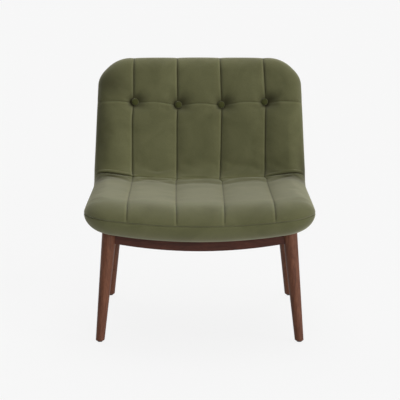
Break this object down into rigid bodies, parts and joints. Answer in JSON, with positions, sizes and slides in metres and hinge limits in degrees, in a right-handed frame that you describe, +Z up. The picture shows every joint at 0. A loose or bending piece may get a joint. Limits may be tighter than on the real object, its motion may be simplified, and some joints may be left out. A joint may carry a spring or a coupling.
{
  "type": "lounge chair",
  "caption": "Armless lounge chair: a scooped, channel-quilted velvet seat and back with tufted buttons, on a low walnut base with splayed tapered legs and an arched front rail.",
  "frame": {"origin": "on the floor, under the middle of the chair's width and length", "axes": "+Z up, +Y from the front of the seat towards the back, +X to the right as seen from the front"},
  "size_m": [0.706, 0.7658, 0.8037],
  "materials": {
    "velvet": "olive green velvet, matte pile",
    "walnut": "walnut stain, satin",
    "plywood": "raw",
    "foam": "open-cell foam",
    "steel": "zinc plated",
    "webbing": "woven elastic",
    "glide": "matte",
    "twine": "waxed twine"
  },
  "bodies": {
    "root": {"front_leg_left": "walnut", "front_leg_right": "walnut", "rear_leg_left": "walnut", "rear_leg_right": "walnut", "front_rail": "walnut", "rear_rail": "walnut", "side_rail_left": "walnut", "side_rail_right": "walnut", "rail_dowels": "plywood", "corner_block_front_left": "plywood", "corner_block_front_right": "plywood", "corner_block_rear_left": "plywood", "corner_block_rear_right": "plywood", "corner_block_screws": "steel", "foot_glides": "glide", "shell_bolts": "steel", "bolt_washers": "steel", "tee_nuts": "steel", "rib_left": "plywood", "rib_right": "plywood", "front_cross_rail": "plywood", "rear_cross_rail": "plywood", "lumbar_rail": "plywood", "top_rail": "plywood", "frame_screws": "steel", "seat_webbing": "webbing", "back_webbing": "webbing", "seat_foam": "foam", "back_foam": "foam", "seat_face_cover": "velvet", "back_face_cover": "velvet", "underside_cover": "velvet", "outside_back_cover": "velvet", "button_1": "velvet", "button_2": "velvet", "button_3": "velvet", "button_4": "velvet", "button_twines": "twine", "twine_anchors": "plywood"}
  },
  "joints": []
}
